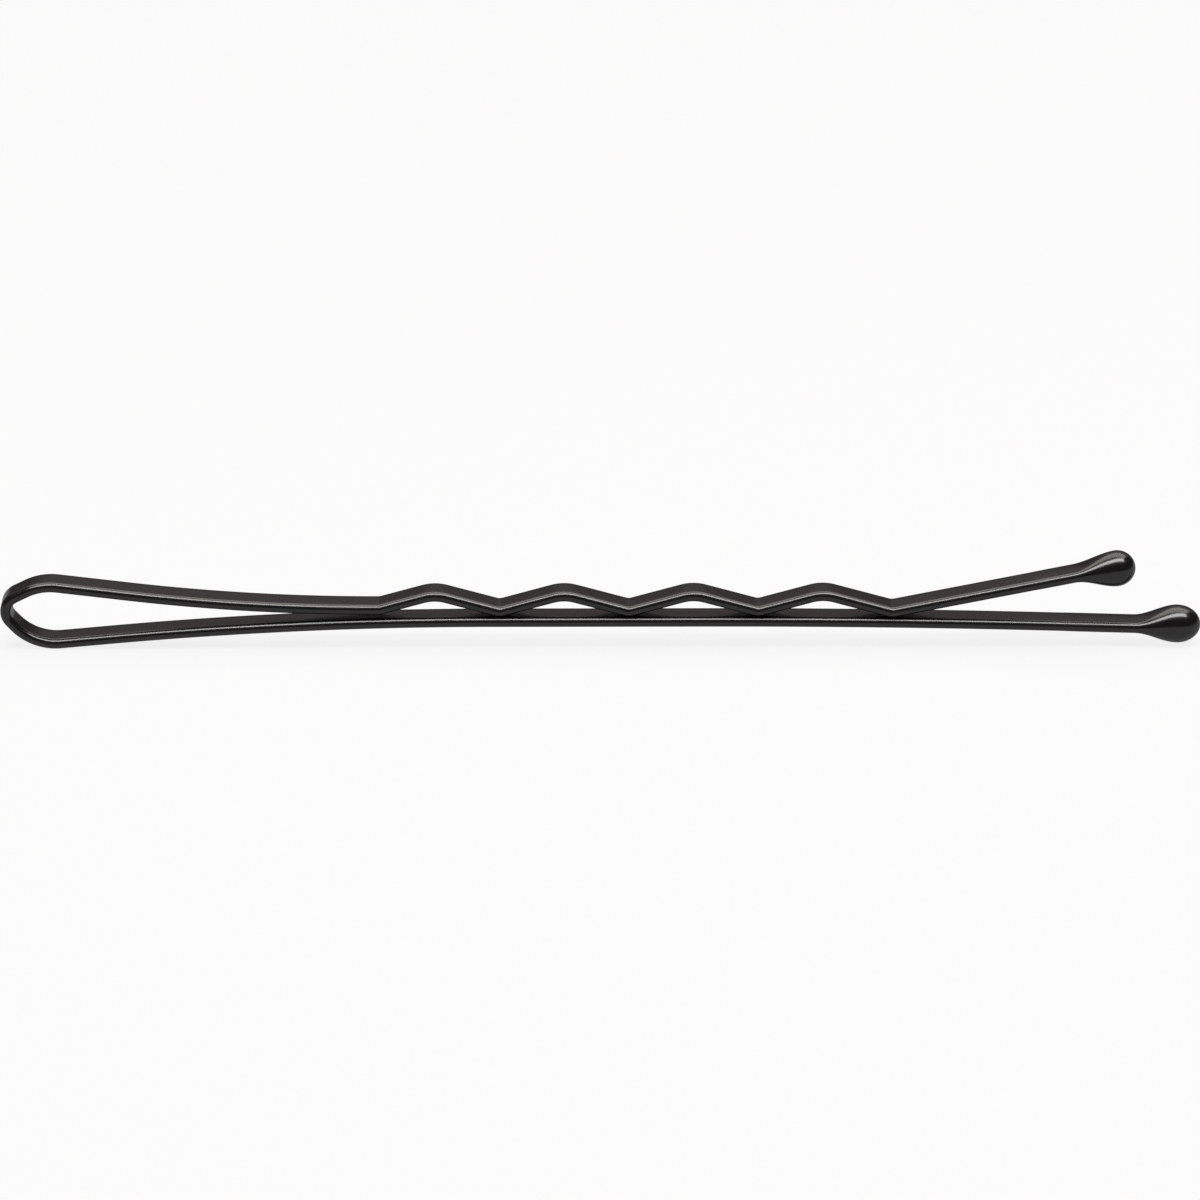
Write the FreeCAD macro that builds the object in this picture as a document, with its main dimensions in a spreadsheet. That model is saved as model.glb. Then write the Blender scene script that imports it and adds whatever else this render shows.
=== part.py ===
import FreeCAD, Part
import Sketcher
import math
import os

V = FreeCAD.Vector

# How a sketch counts the ends and the middle of a curve, and its own origin
START, END, MIDDLE = range(1, 4)
ORIGIN = (-1, 1)

doc = FreeCAD.newDocument("bobby_pin")

# Driving sizes in millimetres and degrees. The pin lies along X with its bow at the low end, opens upward
# along Z and is as wide as its wire along Y. Z is zero on the table under the bow and the plain leg's drop.
# Radii, lengths and angles of the wire are those of its middle line.
SIZES = {
    "pin_length": 50.8,
    "wire_width": 1.35,
    "wire_thickness": 0.45,
    # Bow: two shoulders, two short cheeks and a tight apex, with an arm running into each leg
    "bow_apex_radius": 0.71,
    "bow_shoulder_radius": 2.3,
    "lower_cheek_length": 0.29,
    "lower_cheek_angle": 48,
    "upper_cheek_length": 0.55,
    "upper_cheek_angle": 26.4,
    "lower_arm_length": 2,
    "lower_arm_angle": 5.37,
    "upper_arm_length": 3,
    "upper_arm_angle": 7.09,
    # Plain leg: its level run stands clear of the table, and its end droops until the drop rests there
    "arch_clearance": 0.955,
    "level_run_length": 9.2,
    "tip_run_length": 4.6,
    # Crimped leg: waves whose troughs just clear the plain leg, then a flared end shorter than the other leg
    "crest_count": 4,
    "crimp_angle": 15.8,
    "crest_radius": 1.8,
    "trough_radius": 0.6,
    "crimp_clearance": 0.03,
    "first_trough_lift": 0.093,
    "last_trough_drop": 0.06,
    "flare_angle": 11.6,
    "tip_stagger": 2.72,
    # Dipped drops: a thin film on the wire, a neck swelling out of it, and a ball round the wire's end. The
    # shorter leg's ball hangs a little off the wire's middle, towards the other leg.
    "dip_film": 0.03,
    "straight_dip_length": 4.2,
    "straight_neck_length": 1.85,
    "straight_ball_diameter": 1.61,
    "crimped_dip_length": 2.9,
    "crimped_neck_length": 1.95,
    "crimped_ball_diameter": 1.52,
    "crimped_ball_offset": 0.12,
    "cut_overrun": 0.5,
}

# Crimps are spaced by a share of the pin's length, so a longer pin has longer waves
CRIMP_PITCH_SHARE = 0.1079

# A drop's neck starts inside the wire, at this share of its width and thickness. Each outline after that
# stands at a share of the neck's length and has a share of the swelling.
NECK_START_SHARE = 0.8
STATION_SHARES = (0, 0.25, 0.52, 0.8, 1)
SWELL_SHARES = (0, 0.17, 0.52, 0.88, 1)

sheet = doc.addObject("Spreadsheet::Sheet", "Sizes")
for row, (alias, value) in enumerate(SIZES.items(), start=1):
    sheet.set("A%d" % row, alias)
    sheet.set("B%d" % row, str(value))
    sheet.setAlias("B%d" % row, alias)
doc.recompute()


def size(alias):
    """Reads one driving size from the sheet."""
    return float(sheet.get(alias))


def angle(alias):
    """Reads one driving angle from the sheet, in radians."""
    return math.radians(size(alias))


class Trail:
    """Draws tangent lines and arcs in a sketch, one after the other, from a point and a heading."""

    def __init__(self, sketch, point, heading):
        self.sketch = sketch
        self.point = point
        self.heading = heading
        self.last = None

    def join(self, curve, first, last):
        number = self.sketch.addGeometry(curve, False)
        if self.last is not None:
            self.sketch.addConstraint(Sketcher.Constraint("Tangent", *self.last, number, first))
        self.last = (number, last)
        return number

    def line(self, length):
        ahead = V(math.cos(self.heading), math.sin(self.heading), 0)
        target = self.point + ahead * length
        number = self.join(Part.LineSegment(self.point, target), START, END)
        self.point = target
        return number

    def arc(self, radius, turn):
        """Turns left for a positive angle and right for a negative one."""
        side = math.copysign(1, turn)
        left = V(-math.sin(self.heading), math.cos(self.heading), 0)
        centre = self.point + left * (side * radius)
        from_angle = self.heading - side * math.pi / 2
        to_angle = from_angle + turn
        circle = Part.Circle(centre, V(0, 0, 1), radius)
        if turn > 0:
            number = self.join(Part.ArcOfCircle(circle, from_angle, to_angle), START, END)
        else:
            number = self.join(Part.ArcOfCircle(circle, to_angle, from_angle), END, START)
        self.heading += turn
        self.point = centre + V(math.cos(to_angle), math.sin(to_angle), 0) * radius
        return number


def bind(sketch, name, formula, kind, *places):
    """Adds a named dimension to a sketch and ties it to the sheet."""
    number = sketch.addConstraint(Sketcher.Constraint(kind, *places))
    sketch.renameConstraint(number, name)
    sketch.setExpression("Constraints." + name, formula)


def draw_centreline():
    """Draws the whole wire's middle line, from the plain leg's end round the bow to the crimped leg's end."""
    half_thickness = size("wire_thickness") / 2
    half_length = size("pin_length") / 2
    shoulder = size("bow_shoulder_radius")
    apex = size("bow_apex_radius")
    lower_arm = angle("lower_arm_angle")
    upper_arm = angle("upper_arm_angle")
    lower_cheek = angle("lower_cheek_angle")
    upper_cheek = angle("upper_cheek_angle")
    crimp = angle("crimp_angle")
    flare = angle("flare_angle")
    crest_bend = size("crest_radius")
    trough_bend = size("trough_radius")

    # Plain leg: the bow's foot and the level run give the root's radius, and what is left up to the middle of
    # the ball gives the droop and the belly's radius
    ball = size("straight_ball_diameter") / 2
    level = size("arch_clearance") + half_thickness
    start = V(half_length - ball, ball, 0)
    tip_run = size("tip_run_length")
    arm_rise = shoulder * (1 - math.cos(lower_arm)) + size("lower_arm_length") * math.sin(lower_arm)
    root_radius = (level - half_thickness - arm_rise) / (1 - math.cos(lower_arm))
    bow_foot = half_thickness + apex - half_length + (shoulder - apex) * math.sin(lower_cheek)
    bow_foot += size("lower_cheek_length") * math.cos(lower_cheek)
    root_end = bow_foot + (shoulder + root_radius) * math.sin(lower_arm)
    root_end += size("lower_arm_length") * math.cos(lower_arm)
    reach = start.x - root_end - size("level_run_length")
    droop = 2 * math.atan((level - start.y) / (reach + tip_run))
    belly_radius = (reach - tip_run * math.cos(droop)) / math.sin(droop)

    sketch = doc.addObject("Sketcher::SketchObject", "Centreline")
    sketch.Placement = FreeCAD.Placement(V(0, 0, 0), FreeCAD.Rotation(V(1, 0, 0), 90))
    trail = Trail(sketch, start, math.pi - droop)
    edges = {}
    edges["tip_run"] = trail.line(tip_run)
    edges["belly"] = trail.arc(belly_radius, droop)
    edges["level_run"] = trail.line(size("level_run_length"))
    edges["root"] = trail.arc(root_radius, lower_arm)
    edges["lower_arm"] = trail.line(size("lower_arm_length"))
    edges["lower_shoulder"] = trail.arc(shoulder, -lower_arm - lower_cheek)
    edges["lower_cheek"] = trail.line(size("lower_cheek_length"))
    edges["apex"] = trail.arc(apex, lower_cheek + upper_cheek - math.pi)
    edges["upper_cheek"] = trail.line(size("upper_cheek_length"))
    edges["upper_shoulder"] = trail.arc(shoulder, -upper_cheek - upper_arm)
    edges["upper_arm"] = trail.line(size("upper_arm_length"))

    # Crimped leg, which comes level above the plain one and then zigzags between troughs and crests
    trough = level + size("wire_thickness") + size("crimp_clearance")
    arch_end = trough + size("first_trough_lift")
    half_pitch = size("pin_length") * CRIMP_PITCH_SHARE / 2
    run = (half_pitch - (crest_bend + trough_bend) * math.sin(crimp)) / math.cos(crimp)
    edges["arch"] = trail.arc((trail.point.y - arch_end) / (1 - math.cos(upper_arm)), upper_arm)
    edges["trough_0"] = trail.arc(trough_bend, crimp)
    crests = range(1, int(size("crest_count")) + 1)
    last = crests[-1]
    for crest in crests:
        rise = run
        fall = run
        if crest == 1:
            rise -= size("first_trough_lift") / math.sin(crimp)
        if crest == last:
            fall += size("last_trough_drop") / math.sin(crimp)
        edges["rise_%d" % crest] = trail.line(rise)
        edges["crest_%d" % crest] = trail.arc(crest_bend, -2 * crimp)
        edges["fall_%d" % crest] = trail.line(fall)
        edges["trough_%d" % crest] = trail.arc(trough_bend, flare + crimp if crest == last else 2 * crimp)
    ball = size("crimped_ball_diameter") / 2
    offset = size("crimped_ball_offset")
    flare_end = half_length - size("tip_stagger") - ball - offset * math.sin(flare)
    edges["flare"] = trail.line((flare_end - trail.point.x) / math.cos(flare))
    dimension_centreline(sketch, edges, last)
    return sketch, edges


def dimension_centreline(sketch, edges, last):
    """Gives the middle line its dimensions, so that the sheet drives every bend and run."""

    def length(name, formula):
        curve = sketch.Geometry[edges[name]]
        bind(sketch, name + "_length", formula, "Distance", edges[name], curve.length())

    def heading_of(name):
        curve = sketch.Geometry[edges[name]]
        ahead = curve.EndPoint - curve.StartPoint
        return math.atan2(ahead.y, ahead.x)

    def heading(name, formula):
        bind(sketch, name + "_heading", formula, "Angle", edges[name], heading_of(name))

    def radius(name, formula):
        bind(sketch, name + "_radius", formula, "Radius", edges[name], sketch.Geometry[edges[name]].Radius)

    def height(name, place, formula):
        measure = sketch.getPoint(edges[name], place).y
        bind(sketch, name + "_height", formula, "DistanceY", *ORIGIN, edges[name], place, measure)

    def same_radius(name, other):
        sketch.addConstraint(Sketcher.Constraint("Equal", edges[other], edges[name]))

    def half_pitch(name, other):
        measure = sketch.getPoint(edges[other], MIDDLE).x - sketch.getPoint(edges[name], MIDDLE).x
        places = (edges[name], MIDDLE, edges[other], MIDDLE)
        formula = "Sizes.pin_length * %s / 2" % CRIMP_PITCH_SHARE
        bind(sketch, other + "_pitch", formula, "DistanceX", *places, measure)

    level = "Sizes.arch_clearance + Sizes.wire_thickness / 2"
    trough = level + " + Sizes.wire_thickness + Sizes.crimp_clearance"

    # Plain leg
    tip_x = "Sizes.pin_length / 2 - Sizes.straight_ball_diameter / 2"
    tip_z = "Sizes.straight_ball_diameter / 2"
    tip = sketch.getPoint(edges["tip_run"], START)
    bind(sketch, "straight_tip_x", tip_x, "DistanceX", *ORIGIN, edges["tip_run"], START, tip.x)
    bind(sketch, "straight_tip_z", tip_z, "DistanceY", *ORIGIN, edges["tip_run"], START, tip.y)
    length("tip_run", "Sizes.tip_run_length")
    length("level_run", "Sizes.level_run_length")
    sketch.addConstraint(Sketcher.Constraint("Horizontal", edges["level_run"]))
    height("level_run", START, level)

    # Bow
    length("lower_arm", "Sizes.lower_arm_length")
    heading("lower_arm", "180 + Sizes.lower_arm_angle")
    radius("lower_shoulder", "Sizes.bow_shoulder_radius")
    height("lower_shoulder", MIDDLE, "Sizes.bow_shoulder_radius + Sizes.wire_thickness / 2")
    length("lower_cheek", "Sizes.lower_cheek_length")
    heading("lower_cheek", "180 - Sizes.lower_cheek_angle")
    radius("apex", "Sizes.bow_apex_radius")
    apex_x = "Sizes.pin_length / 2 - Sizes.wire_thickness / 2 - Sizes.bow_apex_radius"
    apex = sketch.getPoint(edges["apex"], MIDDLE)
    bind(sketch, "apex_x", apex_x, "DistanceX", edges["apex"], MIDDLE, *ORIGIN, -apex.x)
    length("upper_cheek", "Sizes.upper_cheek_length")
    heading("upper_cheek", "Sizes.upper_cheek_angle")
    same_radius("upper_shoulder", "lower_shoulder")
    length("upper_arm", "Sizes.upper_arm_length")
    heading("upper_arm", "-Sizes.upper_arm_angle")

    # Crimped leg
    height("arch", END, trough + " + Sizes.first_trough_lift")
    sketch.addConstraint(Sketcher.Constraint("Vertical", edges["arch"], MIDDLE, edges["arch"], END))
    radius("crest_1", "Sizes.crest_radius")
    radius("trough_0", "Sizes.trough_radius")
    for crest in range(1, last + 1):
        heading("rise_%d" % crest, "Sizes.crimp_angle")
        heading("fall_%d" % crest, "-Sizes.crimp_angle")
        same_radius("trough_%d" % crest, "trough_0")
        if crest > 1:
            same_radius("crest_%d" % crest, "crest_1")
            half_pitch("trough_%d" % (crest - 1), "crest_%d" % crest)
        if crest < last:
            half_pitch("crest_%d" % crest, "trough_%d" % crest)
    height("trough_1", MIDDLE, trough + " + Sizes.trough_radius")
    height("trough_%d" % last, MIDDLE, trough + " + Sizes.trough_radius - Sizes.last_trough_drop")
    heading("flare", "Sizes.flare_angle")
    tip_x = "Sizes.pin_length / 2 - Sizes.tip_stagger - Sizes.crimped_ball_diameter / 2"
    tip_x += " - Sizes.crimped_ball_offset * sin(Sizes.flare_angle * 1 deg)"
    tip = sketch.getPoint(edges["flare"], END)
    bind(sketch, "crimped_tip_x", tip_x, "DistanceX", *ORIGIN, edges["flare"], END, tip.x)

    # The plain leg's droop and the crimped leg's end height follow from the rest, so they are only measured
    droop = Sketcher.Constraint("Angle", edges["tip_run"], heading_of("tip_run"))
    tip_z = Sketcher.Constraint("DistanceY", *ORIGIN, edges["flare"], END, tip.y)
    for name, constraint in (("tip_run_heading", droop), ("crimped_tip_z", tip_z)):
        number = sketch.addConstraint(constraint)
        sketch.setDriving(number, False)
        sketch.renameConstraint(number, name)


def draw_wire_section(sketch, film=0, film_formula="0"):
    """Draws the flat wire's outline, two flats and two fully rounded edges, with a film round it if asked."""
    radius = size("wire_thickness") / 2 + film
    reach = (size("wire_width") - size("wire_thickness")) / 2
    quarter = math.pi / 2
    right = Part.Circle(V(reach, 0, 0), V(0, 0, 1), radius)
    left = Part.Circle(V(-reach, 0, 0), V(0, 0, 1), radius)
    bottom = sketch.addGeometry(Part.LineSegment(V(-reach, -radius, 0), V(reach, -radius, 0)), False)
    near = sketch.addGeometry(Part.ArcOfCircle(right, -quarter, quarter), False)
    top = sketch.addGeometry(Part.LineSegment(V(reach, radius, 0), V(-reach, radius, 0)), False)
    far = sketch.addGeometry(Part.ArcOfCircle(left, quarter, 3 * quarter), False)
    for first, second in ((bottom, near), (near, top), (top, far), (far, bottom)):
        sketch.addConstraint(Sketcher.Constraint("Tangent", first, END, second, START))
    sketch.addConstraint(Sketcher.Constraint("Equal", near, far))
    sketch.addConstraint(Sketcher.Constraint("Horizontal", bottom))
    sketch.addConstraint(Sketcher.Constraint("Symmetric", near, MIDDLE, far, MIDDLE, *ORIGIN))
    bind(sketch, "edge_radius", "Sizes.wire_thickness / 2 + " + film_formula, "Radius", near, radius)
    bind(sketch, "flat", "Sizes.wire_width - Sizes.wire_thickness", "Distance", bottom, 2 * reach)


def make_wire(label, path, numbers):
    """Sweeps the wire's section along a stretch of the middle line."""
    body = doc.addObject("PartDesign::Body", label)
    body.Label = label
    binder = body.newObject("PartDesign::SubShapeBinder", label + "_path")
    binder.Support = [(path, tuple("Edge%d" % (number + 1) for number in numbers))]
    doc.recompute()
    section = body.newObject("Sketcher::SketchObject", label + "_section")
    section.AttachmentSupport = (binder, ["Edge1"])
    section.MapMode = "NormalToEdge"
    draw_wire_section(section)
    doc.recompute()
    pipe = body.newObject("PartDesign::AdditivePipe", label + "_wire")
    pipe.Profile = section
    pipe.Spine = (binder, ["Edge%d" % (place + 1) for place in range(len(binder.Shape.Edges))])
    doc.recompute()
    return body


def origin_plane(body, role):
    return [plane for plane in body.Origin.OriginFeatures if plane.Role == role][0]


def make_sketch(body, name, role, across=None, along=None):
    """Makes a sketch on one of the body's own planes, moved along and across by formulas."""
    sketch = body.newObject("Sketcher::SketchObject", name)
    sketch.AttachmentSupport = (origin_plane(body, role), [""])
    sketch.MapMode = "FlatFace"
    if across:
        sketch.setExpression("AttachmentOffset.Base.y", across)
    if along:
        sketch.setExpression("AttachmentOffset.Base.z", along)
    return sketch


def draw_oval(sketch, width, width_formula, depth, depth_formula):
    """Draws an upright-centred ellipse, or a circle where both its sizes are the same formula."""
    if width_formula == depth_formula:
        ring = sketch.addGeometry(Part.Circle(V(0, 0, 0), V(0, 0, 1), width / 2), False)
        sketch.addConstraint(Sketcher.Constraint("Coincident", ring, MIDDLE, *ORIGIN))
        bind(sketch, "ring", width_formula, "Diameter", ring, width)
        return
    oval = Part.Ellipse(V(width / 2, 0, 0), V(0, depth / 2, 0), V(0, 0, 0))
    ring = sketch.addGeometry(oval, False)
    sketch.exposeInternalGeometry(ring)
    major = ring + 1
    minor = ring + 2
    sketch.addConstraint(Sketcher.Constraint("Coincident", ring, MIDDLE, *ORIGIN))
    sketch.addConstraint(Sketcher.Constraint("Horizontal", major))
    bind(sketch, "oval_width", width_formula, "Distance", major, width)
    bind(sketch, "oval_depth", depth_formula, "Distance", minor, depth)


def make_drop(label, kind, offset_formula, heading, heading_formula):
    """Makes a dipped drop round a wire's end: film, neck and ball, with the wire's own seat in them.

    The body's X runs out of the wire's end, and the offset moves the ball across the wire's flats.
    """
    body = doc.addObject("PartDesign::Body", label)
    body.Label = label
    ball = size(kind + "_ball_diameter")
    ball_formula = "Sizes.%s_ball_diameter" % kind
    dip_formula = "Sizes.%s_dip_length" % kind
    neck_formula = "Sizes.%s_neck_length" % kind

    # Film that the dip leaves along the wire
    coat = make_sketch(body, label + "_coat", "YZ_Plane", None, "-" + dip_formula)
    draw_wire_section(coat, size("dip_film"), "Sizes.dip_film")
    doc.recompute()
    film = body.newObject("PartDesign::Pad", label + "_film")
    film.Profile = coat
    film.setExpression("Length", dip_formula)
    doc.recompute()

    # Neck, which grows out of the film from oval to round
    outlines = []
    for share, swell in zip(STATION_SHARES, SWELL_SHARES):
        name = "%s_outline_%d" % (label, len(outlines))
        along = "-%s * (1 - %s)" % (neck_formula, share)
        across = "%s * %s" % (offset_formula, swell)
        outline = make_sketch(body, name, "YZ_Plane", across, along)
        sizes = []
        for alias in ("wire_width", "wire_thickness"):
            slim = size(alias) * NECK_START_SHARE
            slim_formula = "Sizes.%s * %s" % (alias, NECK_START_SHARE)
            formula = "%s + %s * (%s - %s)" % (slim_formula, swell, ball_formula, slim_formula)
            sizes += [slim + swell * (ball - slim), ball_formula if swell == 1 else formula]
        draw_oval(outline, *sizes)
        outlines.append(outline)
    doc.recompute()
    neck = body.newObject("PartDesign::AdditiveLoft", label + "_neck")
    neck.Profile = outlines[0]
    neck.Sections = outlines[1:]
    doc.recompute()

    # Round end, a quarter disc turned about the ball's own axis
    quarter = make_sketch(body, label + "_quarter", "XZ_Plane", offset_formula)
    radius = ball / 2
    base = quarter.addGeometry(Part.LineSegment(V(0, 0, 0), V(radius, 0, 0)), False)
    circle = Part.Circle(V(0, 0, 0), V(0, 0, 1), radius)
    rim = quarter.addGeometry(Part.ArcOfCircle(circle, 0, math.pi / 2), False)
    wall = quarter.addGeometry(Part.LineSegment(V(0, radius, 0), V(0, 0, 0)), False)
    for first, second in ((base, rim), (rim, wall), (wall, base)):
        quarter.addConstraint(Sketcher.Constraint("Coincident", first, END, second, START))
    quarter.addConstraint(Sketcher.Constraint("Coincident", base, START, *ORIGIN))
    quarter.addConstraint(Sketcher.Constraint("Coincident", rim, MIDDLE, *ORIGIN))
    quarter.addConstraint(Sketcher.Constraint("Horizontal", base))
    quarter.addConstraint(Sketcher.Constraint("Vertical", wall))
    bind(quarter, "round", ball_formula + " / 2", "Radius", rim, radius)
    doc.recompute()
    round_end = body.newObject("PartDesign::Revolution", label + "_round_end")
    round_end.Profile = quarter
    round_end.ReferenceAxis = (quarter, ["H_Axis"])
    round_end.Angle = 360
    doc.recompute()

    # The wire's seat, cut from beyond the film to the middle of the ball
    full = body.Shape.Volume
    seat = make_sketch(body, label + "_seat", "YZ_Plane", None, "-%s - Sizes.cut_overrun" % dip_formula)
    draw_wire_section(seat)
    doc.recompute()
    pocket = body.newObject("PartDesign::Pocket", label + "_pocket")
    pocket.Profile = seat
    pocket.Reversed = True
    pocket.setExpression("Length", dip_formula + " + Sizes.cut_overrun")
    doc.recompute()
    if body.Shape.Volume >= full:
        raise RuntimeError(label + ": the wire's seat cuts nothing")

    body.Placement = FreeCAD.Placement(V(0, 0, 0), FreeCAD.Rotation(V(0, 1, 0), heading))
    body.setExpression("Placement.Base.x", "Centreline.Constraints.%s_tip_x" % kind)
    body.setExpression("Placement.Base.z", "Centreline.Constraints.%s_tip_z" % kind)
    body.setExpression("Placement.Rotation.Angle", heading_formula)
    doc.recompute()
    return body


centreline, edges = draw_centreline()
doc.recompute()
bow_first = edges["lower_arm"]
bow_last = edges["upper_arm"]
parts = [
    make_wire("bow", centreline, range(bow_first, bow_last + 1)),
    make_wire("straight_leg", centreline, range(0, bow_first)),
    make_wire("crimped_leg", centreline, range(bow_last + 1, edges["flare"] + 1)),
    make_drop("straight_leg_tip", "straight", "0", 1, "180 deg - Centreline.Constraints.tip_run_heading"),
    make_drop("crimped_leg_tip", "crimped", "-Sizes.crimped_ball_offset", -1, "-Sizes.flare_angle"),
]
doc.recompute()

for item in doc.Objects:
    if "Invalid" in item.State or "Error" in item.State:
        raise RuntimeError("%s did not compute: %s" % (item.Name, item.State))
for part in parts:
    if part.Shape.isNull() or not part.Shape.isValid():
        raise RuntimeError(part.Label + " has no valid shape")

os.makedirs("parts", exist_ok=True)
for part in parts:
    part.Shape.exportStep("parts/%s.step" % part.Label)
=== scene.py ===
import math

import bmesh
import bpy
from mathutils import Matrix, Vector


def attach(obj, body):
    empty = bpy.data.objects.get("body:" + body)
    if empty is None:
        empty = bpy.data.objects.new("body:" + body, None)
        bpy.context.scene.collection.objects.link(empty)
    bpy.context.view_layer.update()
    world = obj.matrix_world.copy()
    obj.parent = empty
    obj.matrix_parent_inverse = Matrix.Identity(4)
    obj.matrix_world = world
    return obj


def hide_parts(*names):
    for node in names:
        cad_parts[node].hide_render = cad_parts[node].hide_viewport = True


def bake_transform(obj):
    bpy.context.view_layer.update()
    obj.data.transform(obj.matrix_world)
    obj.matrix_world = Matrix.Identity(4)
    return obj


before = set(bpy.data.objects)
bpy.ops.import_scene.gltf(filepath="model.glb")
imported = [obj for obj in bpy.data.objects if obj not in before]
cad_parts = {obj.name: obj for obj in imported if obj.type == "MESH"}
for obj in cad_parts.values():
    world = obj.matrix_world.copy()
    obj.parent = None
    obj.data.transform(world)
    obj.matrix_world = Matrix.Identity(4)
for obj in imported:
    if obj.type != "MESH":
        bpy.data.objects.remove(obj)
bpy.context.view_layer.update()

# Sizes in millimetres and degrees, those of the CAD model. The pin lies along X with its bow at the low end,
# opens upward along Z and is as wide as its wire along Y. Pieces are modelled in millimetres and then
# brought to metres.
MM = 0.001
PIN_LENGTH = 50.8
WIRE_WIDTH = 1.35
WIRE_THICKNESS = 0.45
APEX_RADIUS = 0.71
SHOULDER_RADIUS = 2.3
LOWER_CHEEK_LENGTH = 0.29
LOWER_CHEEK_TURN = math.radians(48)
UPPER_CHEEK_LENGTH = 0.55
UPPER_CHEEK_TURN = math.radians(26.4)
LOWER_ARM_LENGTH = 2
LOWER_ARM_TURN = math.radians(5.37)
UPPER_ARM_LENGTH = 3
UPPER_ARM_TURN = math.radians(7.09)
ARCH_CLEARANCE = 0.955
LEVEL_RUN_LENGTH = 9.2
TIP_RUN_LENGTH = 4.6
CREST_COUNT = 4
CRIMP_PITCH = PIN_LENGTH * 0.1079
CRIMP_TURN = math.radians(15.8)
CREST_RADIUS = 1.8
TROUGH_RADIUS = 0.6
CRIMP_CLEARANCE = 0.03
FIRST_TROUGH_LIFT = 0.093
LAST_TROUGH_DROP = 0.06
FLARE_TURN = math.radians(11.6)
TIP_STAGGER = 2.72
PLAIN_BALL_RADIUS = 0.805
CRIMPED_BALL_RADIUS = 0.76
CRIMPED_BALL_OFFSET = 0.12

# The bow's wire stops inside its two straight arms, where a join leaves no trace
LOWER_ARM_IN_BOW = 1
UPPER_ARM_IN_BOW = 0.5

# How finely wire and drops are divided
EDGE_STEPS = 10
FLAT_CUTS = 5
BEND_STEP = math.radians(2)
RUN_STEP = 0.4
SPRINGY_STEP = 0.25
DROP_SIDES = 64
DROP_RINGS = 48
NECK_STEPS = 28

# Points this near each other count as one, and edges sharper than this stay sharp
NEAR = 0.0005
SHARP_EDGE = math.radians(30)

# Drops as the photograph shows them: a ball with a nose of its own length, a neck that thins back to the
# wire, and a film that ends in a feathered edge. A ball lies back from the wire's end by its setback and
# sags to one side of the wire.
PLAIN_DROP = {"radius": 0.81, "nose": 1, "setback": 0.11, "sag": -0.06, "film_length": 4.2}
CRIMPED_DROP = {"radius": 0.766, "nose": 0.8, "setback": 0.06, "sag": 0.13, "film_length": 2.9}
NECK_LENGTH = 1.82
FILM = 0.006
FEATHER_LENGTH = 1.2
FEATHER_SINK = 0.012

# Both coatings are more reflective than plain enamel and resin, matched to the photographed highlights
COATING_IOR = 1.8

# A Mix node's sockets share their names, so they go by number: first for colours, then for plain values
MIX_SHARE = 0
FROM_COLOUR = 6
TO_COLOUR = 7
MIXED_COLOUR = 2
FROM_VALUE = 2
TO_VALUE = 3
MIXED_VALUE = 0


def pick(piece, wanted):
    """Selects the points of a mesh in edit mode that a test picks out, with the edges between them."""
    bpy.ops.mesh.select_mode(type="VERT")
    bpy.ops.mesh.select_all(action="DESELECT")
    shape = bmesh.from_edit_mesh(piece.data)
    for point in shape.verts:
        point.select = wanted(point.co)
    shape.select_flush_mode()
    bmesh.update_edit_mesh(piece.data)


def start_piece(piece, name):
    """Names a new primitive, applies its place and opens it in edit mode."""
    piece.name = name
    piece.data.name = name
    bpy.ops.object.transform_apply(location=True, rotation=True, scale=True)
    bpy.ops.object.mode_set(mode="EDIT")


def set_piece(piece, place, heading, scale):
    """Turns a piece made upright so that its Z runs along a heading in the XZ plane, and sets it in place."""
    bpy.ops.object.mode_set(mode="OBJECT")
    piece.rotation_euler = (0, math.pi / 2 - heading, 0)
    piece.scale = (scale, scale, scale)
    piece.location = Vector((place[0], 0, place[1])) * scale
    bpy.ops.object.transform_apply(location=True, rotation=True, scale=True)


def close_piece(piece):
    """Merges doubles, turns the faces outwards and smooths all but the sharp edges."""
    bpy.ops.object.mode_set(mode="EDIT")
    bpy.ops.mesh.select_all(action="SELECT")
    bpy.ops.mesh.remove_doubles(threshold=NEAR)
    bpy.ops.mesh.normals_make_consistent(inside=False)
    bpy.ops.object.mode_set(mode="OBJECT")
    bpy.ops.object.shade_smooth_by_angle(angle=SHARP_EDGE)


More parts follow.
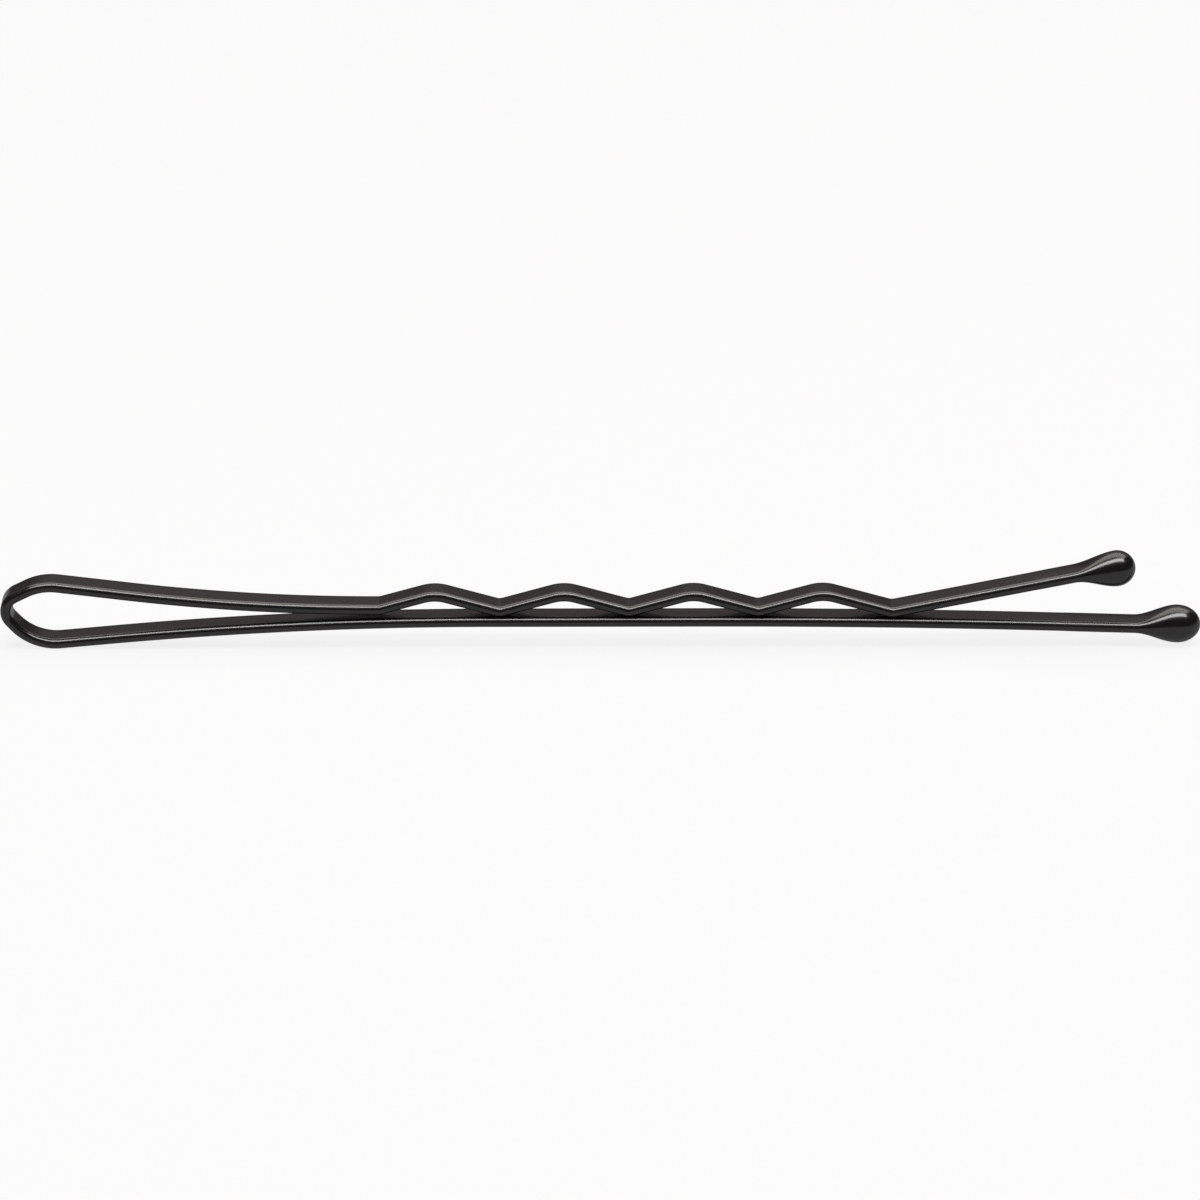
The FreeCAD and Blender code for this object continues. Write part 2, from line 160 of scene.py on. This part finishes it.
class Wire:
    """A flat wire, drawn out and bent from one end to the other."""

    def __init__(self, name, place, heading):
        self.place = place
        self.heading = heading
        bpy.ops.object.select_all(action="DESELECT")
        bpy.ops.mesh.primitive_plane_add(size=1)
        self.piece = bpy.context.object
        self.piece.scale = (WIRE_THICKNESS, WIRE_WIDTH, 1)
        start_piece(self.piece, name)
        bpy.ops.mesh.select_all(action="SELECT")
        bpy.ops.mesh.bevel(offset=WIRE_THICKNESS / 2, segments=EDGE_STEPS, affect="VERTICES",
                           clamp_overlap=False)
        bpy.ops.mesh.select_all(action="SELECT")
        bpy.ops.mesh.remove_doubles(threshold=NEAR)
        for side in (-1, 1):
            pick(self.piece, lambda point: side * point.x > WIRE_THICKNESS / 2 - NEAR)
            bpy.ops.mesh.subdivide(number_cuts=FLAT_CUTS)
        set_piece(self.piece, place, heading, 1)
        bpy.ops.object.mode_set(mode="EDIT")
        bpy.ops.mesh.select_mode(type="FACE")
        bpy.ops.mesh.select_all(action="SELECT")

    def run(self, length, step=RUN_STEP):
        """Draws the wire straight on."""
        count = math.ceil(length / step)
        ahead = Vector((math.cos(self.heading), math.sin(self.heading)))
        move = ahead * (length / count)
        for _ in range(count):
            bpy.ops.mesh.extrude_region_move(TRANSFORM_OT_translate={"value": (move.x, 0, move.y)})
        self.place = self.place + ahead * length

    def bend(self, radius, turn, step=RUN_STEP):
        """Bends the wire to the left for a positive turn and to the right for a negative one."""
        side = math.copysign(radius, turn)
        centre = self.place + Vector((-math.sin(self.heading), math.cos(self.heading))) * side
        count = max(math.ceil(abs(turn) / BEND_STEP), math.ceil(abs(turn) * radius / step))
        bpy.ops.mesh.spin(steps=count, angle=turn, center=(centre.x, 0, centre.y), axis=(0, 1, 0))
        self.heading += turn
        self.place = centre + Vector((math.sin(self.heading), -math.cos(self.heading))) * side

    def done(self):
        """Closes the wire and brings it to metres."""
        close_piece(self.piece)
        self.piece.scale = (MM, MM, MM)
        bpy.ops.object.transform_apply(location=True, rotation=True, scale=True)


def plain_leg():
    """The leg without crimps, from the middle of its drop back to the arm of the bow."""
    half_thickness = WIRE_THICKNESS / 2
    half_length = PIN_LENGTH / 2
    level = ARCH_CLEARANCE + half_thickness
    tip = Vector((half_length - PLAIN_BALL_RADIUS, PLAIN_BALL_RADIUS))
    arm_rise = SHOULDER_RADIUS * (1 - math.cos(LOWER_ARM_TURN)) + LOWER_ARM_LENGTH * math.sin(LOWER_ARM_TURN)
    root_radius = (level - half_thickness - arm_rise) / (1 - math.cos(LOWER_ARM_TURN))
    root_end = half_thickness + APEX_RADIUS - half_length
    root_end += (SHOULDER_RADIUS - APEX_RADIUS) * math.sin(LOWER_CHEEK_TURN)
    root_end += LOWER_CHEEK_LENGTH * math.cos(LOWER_CHEEK_TURN)
    root_end += (SHOULDER_RADIUS + root_radius) * math.sin(LOWER_ARM_TURN)
    root_end += LOWER_ARM_LENGTH * math.cos(LOWER_ARM_TURN)
    reach = tip.x - root_end - LEVEL_RUN_LENGTH
    droop = 2 * math.atan((level - tip.y) / (reach + TIP_RUN_LENGTH))
    belly_radius = (reach - TIP_RUN_LENGTH * math.cos(droop)) / math.sin(droop)

    wire = Wire("plain_leg_wire", tip, math.pi - droop)
    wire.run(TIP_RUN_LENGTH)
    wire.bend(belly_radius, droop)
    wire.run(LEVEL_RUN_LENGTH)
    wire.bend(root_radius, LOWER_ARM_TURN)
    wire.run(LOWER_ARM_LENGTH - LOWER_ARM_IN_BOW)
    wire.done()
    return wire, tip, -droop


def bow(leg):
    """The closed bend, with the start of an arm on either side."""
    wire = Wire("bow_wire", leg.place, leg.heading)
    wire.run(LOWER_ARM_IN_BOW)
    wire.bend(SHOULDER_RADIUS, -LOWER_ARM_TURN - LOWER_CHEEK_TURN)
    wire.run(LOWER_CHEEK_LENGTH)
    wire.bend(APEX_RADIUS, LOWER_CHEEK_TURN + UPPER_CHEEK_TURN - math.pi)
    wire.run(UPPER_CHEEK_LENGTH)
    wire.bend(SHOULDER_RADIUS, -UPPER_CHEEK_TURN - UPPER_ARM_TURN)
    wire.run(UPPER_ARM_IN_BOW)
    wire.done()
    return wire


def crimped_leg(bend_before):
    """The waved leg, from the bow's arm to the middle of its drop."""
    plain_top = ARCH_CLEARANCE + WIRE_THICKNESS
    trough = plain_top + CRIMP_CLEARANCE + WIRE_THICKNESS / 2
    wire = Wire("crimped_leg_wire", bend_before.place, bend_before.heading)
    wire.run(UPPER_ARM_LENGTH - UPPER_ARM_IN_BOW, SPRINGY_STEP)
    arch_drop = wire.place.y - trough - FIRST_TROUGH_LIFT
    wire.bend(arch_drop / (1 - math.cos(UPPER_ARM_TURN)), UPPER_ARM_TURN, SPRINGY_STEP)
    wire.bend(TROUGH_RADIUS, CRIMP_TURN)
    bends = (CREST_RADIUS + TROUGH_RADIUS) * math.sin(CRIMP_TURN)
    slope = (CRIMP_PITCH / 2 - bends) / math.cos(CRIMP_TURN)
    for crest in range(1, CREST_COUNT + 1):
        lift = FIRST_TROUGH_LIFT if crest == 1 else 0
        drop = LAST_TROUGH_DROP if crest == CREST_COUNT else 0
        wire.run(slope - lift / math.sin(CRIMP_TURN))
        wire.bend(CREST_RADIUS, -2 * CRIMP_TURN)
        wire.run(slope + drop / math.sin(CRIMP_TURN))
        wire.bend(TROUGH_RADIUS, CRIMP_TURN + (FLARE_TURN if crest == CREST_COUNT else CRIMP_TURN))
    tip_x = PIN_LENGTH / 2 - TIP_STAGGER - CRIMPED_BALL_RADIUS - CRIMPED_BALL_OFFSET * math.sin(FLARE_TURN)
    wire.run((tip_x - wire.place.x) / math.cos(FLARE_TURN))
    wire.done()
    return wire


def dipped_drop(name, wire_end, heading, radius, nose, setback, sag, film_length):
    """A drop of resin round a wire's end, with a film behind it along the wire.

    It is made upright with its ball's middle at the origin: the wire comes up along Z and its flats face X.
    """
    bpy.ops.object.select_all(action="DESELECT")
    half_side = math.pi / DROP_SIDES
    bpy.ops.mesh.primitive_uv_sphere_add(segments=DROP_SIDES, ring_count=DROP_RINGS, radius=radius,
                                         location=(sag, 0, 0), rotation=(0, 0, half_side))
    drop = bpy.context.object
    drop.scale = (1, 1, nose / radius)
    start_piece(drop, name)
    pick(drop, lambda point: point.z < -NEAR)
    bpy.ops.mesh.delete(type="VERT")
    pick(drop, lambda point: point.z < NEAR)

    # The ring at the ball's middle is drawn back, thinned in one smooth step, and parted into the wire's two
    # rounded edges
    wire_radius = WIRE_THICKNESS / 2
    edge_reach = WIRE_WIDTH / 2 - wire_radius
    stations = []
    for step in range(1, NECK_STEPS + 1):
        share = step / NECK_STEPS
        thinned = share * share * (3 - 2 * share)
        ring_radius = radius + (wire_radius + FILM - radius) * thinned
        stations.append((share * NECK_LENGTH, ring_radius, edge_reach * thinned, sag * (1 - thinned)))
    film_end = film_length - setback
    feather_end = film_end + FEATHER_LENGTH
    stations.append((film_end, wire_radius + FILM, edge_reach, 0))
    stations.append((film_end + FEATHER_LENGTH / 2, wire_radius + FILM / 2, edge_reach, 0))
    stations.append((feather_end, wire_radius - FEATHER_SINK, edge_reach, 0))
    last = (0, radius, 0, sag)
    for station in stations:
        back, ring, reach, shift = station
        old_back, old_ring, old_reach, old_shift = last
        bpy.ops.mesh.extrude_region_move(
            TRANSFORM_OT_translate={"value": (shift - old_shift, 0, old_back - back)})
        thinner = ring / old_ring
        for side in (-1, 1):
            pick(drop, lambda point: point.z < NEAR - back and side * point.y > 0)
            bpy.ops.transform.resize(value=(thinner, thinner, 1),
                                     center_override=(shift, side * old_reach, -back))
            bpy.ops.transform.translate(value=(0, side * (reach - old_reach), 0))
        pick(drop, lambda point: point.z < NEAR - back)
        last = station
    bpy.ops.mesh.edge_face_add()
    bpy.ops.object.mode_set(mode="OBJECT")
    close_piece(drop)

    # How much resin there is at each point, from a thin film to the full drop
    drop.data.attributes.new("resin_depth", "FLOAT", "POINT")
    for point, depth in zip(drop.data.vertices, drop.data.attributes["resin_depth"].data):
        share = (feather_end + point.co.z) / (feather_end - NECK_LENGTH)
        depth.value = min(max(share, 0), 1)
    ahead = Vector((math.cos(heading), math.sin(heading)))
    set_piece(drop, wire_end - ahead * setback, heading, MM)
    return drop


def colour(hex_text):
    """Turns an sRGB hex colour into the linear one that a shader takes."""
    shares = [int(hex_text[place:place + 2], 16) / 255 for place in (1, 3, 5)]
    linear = [share / 12.92 if share <= 0.04045 else ((share + 0.055) / 1.055) ** 2.4 for share in shares]
    return (*linear, 1)


def add_node(tree, kind, settings, links):
    """Adds a node with its settings, by property or socket, and the links into it."""
    node = tree.nodes.new(kind)
    for name, value in settings.items():
        if isinstance(name, str) and hasattr(node, name):
            setattr(node, name, value)
        else:
            node.inputs[name].default_value = value
    for name, source in links.items():
        tree.links.new(source, node.inputs[name])
    return node


def blank_material(name):
    """A material with an empty node tree."""
    finish = bpy.data.materials.new(name)
    finish.use_nodes = True
    finish.node_tree.nodes.clear()
    return finish, finish.node_tree


def satin_enamel():
    """Black stoving enamel on drawn spring wire: brown-black, satin, with a faint grain and orange peel.

    The grain is drawn coarser than the real one, so that it shows.
    """
    finish, tree = blank_material("satin_black_enamel")
    cloud_size = 1.6 * MM
    peel_size = 0.25 * MM
    peel_depth = 0.01 * MM
    peel_strength = 0.5
    grain_size = 0.06 * MM
    least_roughness = 0.16
    most_roughness = 0.27
    place = add_node(tree, "ShaderNodeTexCoord", {}, {}).outputs["Object"]
    cloud = add_node(tree, "ShaderNodeTexNoise", {"Scale": 1 / cloud_size, "Detail": 3}, {"Vector": place})
    peel = add_node(tree, "ShaderNodeTexNoise", {"Scale": 1 / peel_size, "Detail": 2}, {"Vector": place})
    grain = add_node(tree, "ShaderNodeTexNoise", {"Scale": 1 / grain_size, "Detail": 2}, {"Vector": place})
    tint = add_node(tree, "ShaderNodeMix",
                    {"data_type": "RGBA", FROM_COLOUR: colour("#0b0909"), TO_COLOUR: colour("#131010")},
                    {MIX_SHARE: cloud.outputs["Fac"]})
    sheen = add_node(tree, "ShaderNodeMapRange", {"To Min": least_roughness, "To Max": most_roughness},
                     {"Value": grain.outputs["Fac"]})
    bump = add_node(tree, "ShaderNodeBump", {"Strength": peel_strength, "Distance": peel_depth},
                    {"Height": peel.outputs["Fac"]})
    shader = add_node(tree, "ShaderNodeBsdfPrincipled", {"IOR": COATING_IOR},
                      {"Base Color": tint.outputs[MIXED_COLOUR], "Roughness": sheen.outputs["Result"],
                       "Normal": bump.outputs["Normal"]})
    add_node(tree, "ShaderNodeOutputMaterial", {}, {"Surface": shader.outputs["BSDF"]})
    return finish


def dipped_resin():
    """Black resin that ran smooth as it cured: deep black, glossy, with a slow unevenness.

    Where it is only a film, it is duller and takes on the colour of the enamel below.
    """
    finish, tree = blank_material("dipped_black_resin")
    flow_size = 0.7 * MM
    flow_depth = 0.01 * MM
    flow_strength = 0.3
    least_roughness = 0.17
    most_roughness = 0.24
    film_roughness = 0.32
    place = add_node(tree, "ShaderNodeTexCoord", {}, {}).outputs["Object"]
    depth = add_node(tree, "ShaderNodeAttribute", {"attribute_name": "resin_depth"}, {}).outputs["Fac"]
    flow = add_node(tree, "ShaderNodeTexNoise", {"Scale": 1 / flow_size, "Detail": 2}, {"Vector": place})
    black = add_node(tree, "ShaderNodeMix",
                     {"data_type": "RGBA", FROM_COLOUR: colour("#070607"), TO_COLOUR: colour("#0d0b0b")},
                     {MIX_SHARE: flow.outputs["Fac"]})
    tint = add_node(tree, "ShaderNodeMix", {"data_type": "RGBA", FROM_COLOUR: colour("#131110")},
                    {MIX_SHARE: depth, TO_COLOUR: black.outputs[MIXED_COLOUR]})
    gloss = add_node(tree, "ShaderNodeMapRange", {"To Min": least_roughness, "To Max": most_roughness},
                     {"Value": flow.outputs["Fac"]})
    sheen = add_node(tree, "ShaderNodeMix", {FROM_VALUE: film_roughness},
                     {MIX_SHARE: depth, TO_VALUE: gloss.outputs["Result"]})
    bump = add_node(tree, "ShaderNodeBump", {"Strength": flow_strength, "Distance": flow_depth},
                    {"Height": flow.outputs["Fac"]})
    shader = add_node(tree, "ShaderNodeBsdfPrincipled", {"IOR": COATING_IOR},
                      {"Base Color": tint.outputs[MIXED_COLOUR], "Roughness": sheen.outputs[MIXED_VALUE],
                       "Normal": bump.outputs["Normal"]})
    add_node(tree, "ShaderNodeOutputMaterial", {}, {"Surface": shader.outputs["BSDF"]})
    return finish


def white_table():
    """A matt table that looks white, keeps a faint shadow and shows more dimly in reflections.

    The photographed pin mirrors mostly dark surroundings, so glossy rays see less of the white.
    """
    table_size = 2
    seen_share = 0.85
    mirrored_share = 0.3
    bpy.ops.object.select_all(action="DESELECT")
    bpy.ops.mesh.primitive_plane_add(size=table_size)
    table = bpy.context.object
    table.name = "table"
    finish, tree = blank_material("matt_white_table")
    path = add_node(tree, "ShaderNodeLightPath", {}, {})
    clear = add_node(tree, "ShaderNodeMath", {"operation": "ADD"},
                     {0: path.outputs["Is Camera Ray"], 1: path.outputs["Is Transmission Ray"]})
    glow = add_node(tree, "ShaderNodeMath", {"operation": "MULTIPLY", 1: seen_share},
                    {0: clear.outputs["Value"]})
    share = add_node(tree, "ShaderNodeMath", {"operation": "MULTIPLY_ADD", 1: mirrored_share},
                     {0: path.outputs["Is Glossy Ray"], 2: glow.outputs["Value"]})
    tone = add_node(tree, "ShaderNodeMix",
                    {"data_type": "RGBA", FROM_COLOUR: colour("#545454"), TO_COLOUR: colour("#d8d8d8")},
                    {MIX_SHARE: clear.outputs["Value"]})
    matt = add_node(tree, "ShaderNodeBsdfDiffuse", {}, {"Color": tone.outputs[MIXED_COLOUR]})
    white = add_node(tree, "ShaderNodeEmission", {"Color": colour("#ffffff"), "Strength": 1}, {})
    surface = add_node(tree, "ShaderNodeMixShader", {},
                       {0: share.outputs["Value"], 1: matt.outputs["BSDF"], 2: white.outputs["Emission"]})
    add_node(tree, "ShaderNodeOutputMaterial", {}, {"Surface": surface.outputs["Shader"]})
    table.data.materials.append(finish)


def softbox(name, place, size, radiance, tint):
    """A flat soft lamp that faces the pin, placed and sized in metres, given by how bright its face is."""
    lamp = bpy.data.lights.new(name, "AREA")
    lamp.shape = "RECTANGLE"
    lamp.size, lamp.size_y = size
    lamp.energy = radiance * math.pi * size[0] * size[1]
    lamp.color = colour(tint)[:3]
    box = bpy.data.objects.new(name, lamp)
    box.location = place
    box.rotation_euler = Vector(place).to_track_quat("Z", "Y").to_euler()
    bpy.context.scene.collection.objects.link(box)


def studio_room():
    """The plain dim room round the table."""
    room_light = 0.07
    world = bpy.data.worlds.new("studio_room")
    bpy.context.scene.world = world
    world.use_nodes = True
    tree = world.node_tree
    tree.nodes.clear()
    room = add_node(tree, "ShaderNodeBackground", {"Color": colour("#fff1eb"), "Strength": room_light}, {})
    add_node(tree, "ShaderNodeOutputWorld", {}, {"Surface": room.outputs["Background"]})


def photo_camera():
    """A long lens a little above the table, with the pin from edge to edge of a square picture."""
    picture_width = 50.87 * MM
    target = Vector((0.002, 0, 1.984)) * MM
    elevation = math.radians(22)
    roll = math.radians(-0.095)
    lens = bpy.data.cameras.new("photo_camera")
    lens.lens = 200
    lens.sensor_width = 36
    lens.clip_start = 0.01
    lens.clip_end = 10
    camera = bpy.data.objects.new("photo_camera", lens)
    distance = picture_width * lens.lens / lens.sensor_width
    back = Vector((0, -math.cos(elevation), math.sin(elevation)))
    turn = Matrix.Rotation(math.pi / 2 - elevation, 4, "X") @ Matrix.Rotation(roll, 4, "Z")
    camera.matrix_world = Matrix.Translation(target + back * distance) @ turn
    bpy.context.scene.collection.objects.link(camera)
    bpy.context.scene.camera = camera


# The wire, in one line from the plain leg's drop round the bow to the crimped leg's drop
plain_wire, plain_tip, plain_heading = plain_leg()
bow_wire = bow(plain_wire)
crimped_wire = crimped_leg(bow_wire)

# The drop on each end of the wire
plain_drop = dipped_drop("plain_leg_drop", plain_tip, plain_heading, **PLAIN_DROP)
crimped_drop = dipped_drop("crimped_leg_drop", crimped_wire.place, crimped_wire.heading, **CRIMPED_DROP)

# Finishes
enamel = satin_enamel()
resin = dipped_resin()
for wire in (plain_wire, bow_wire, crimped_wire):
    wire.piece.data.materials.append(enamel)
for drop in (plain_drop, crimped_drop):
    drop.data.materials.append(resin)

# The CAD nodes that the pieces stand for, and the bodies that carry them
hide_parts("straight_leg")
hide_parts("bow")
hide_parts("crimped_leg")
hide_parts("straight_leg_tip")
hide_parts("crimped_leg_tip")
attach(plain_wire.piece, "plain_side")
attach(bow_wire.piece, "plain_side")
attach(plain_drop, "plain_side")
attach(crimped_drop, "crimped_side")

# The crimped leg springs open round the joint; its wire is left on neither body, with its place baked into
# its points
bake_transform(crimped_wire.piece)

# The studio: a bright strip over the front edge, a wide lamp behind it, and a faint low one that the upper
# faces mirror towards the camera
white_table()
studio_room()
softbox("front_softbox", place=(0.02, -0.112, 0.39), size=(0.56, 0.14), radiance=6.6, tint="#fffcfa")
softbox("back_softbox", place=(0.02, 0.173, 0.37), size=(0.56, 0.3), radiance=1.8, tint="#fff7f0")
softbox("low_back_softbox", place=(0, 0.42, 0.27), size=(0.9, 0.22), radiance=0.23, tint="#fff1f1")
photo_camera()
bpy.context.scene.view_settings.view_transform = "Standard"
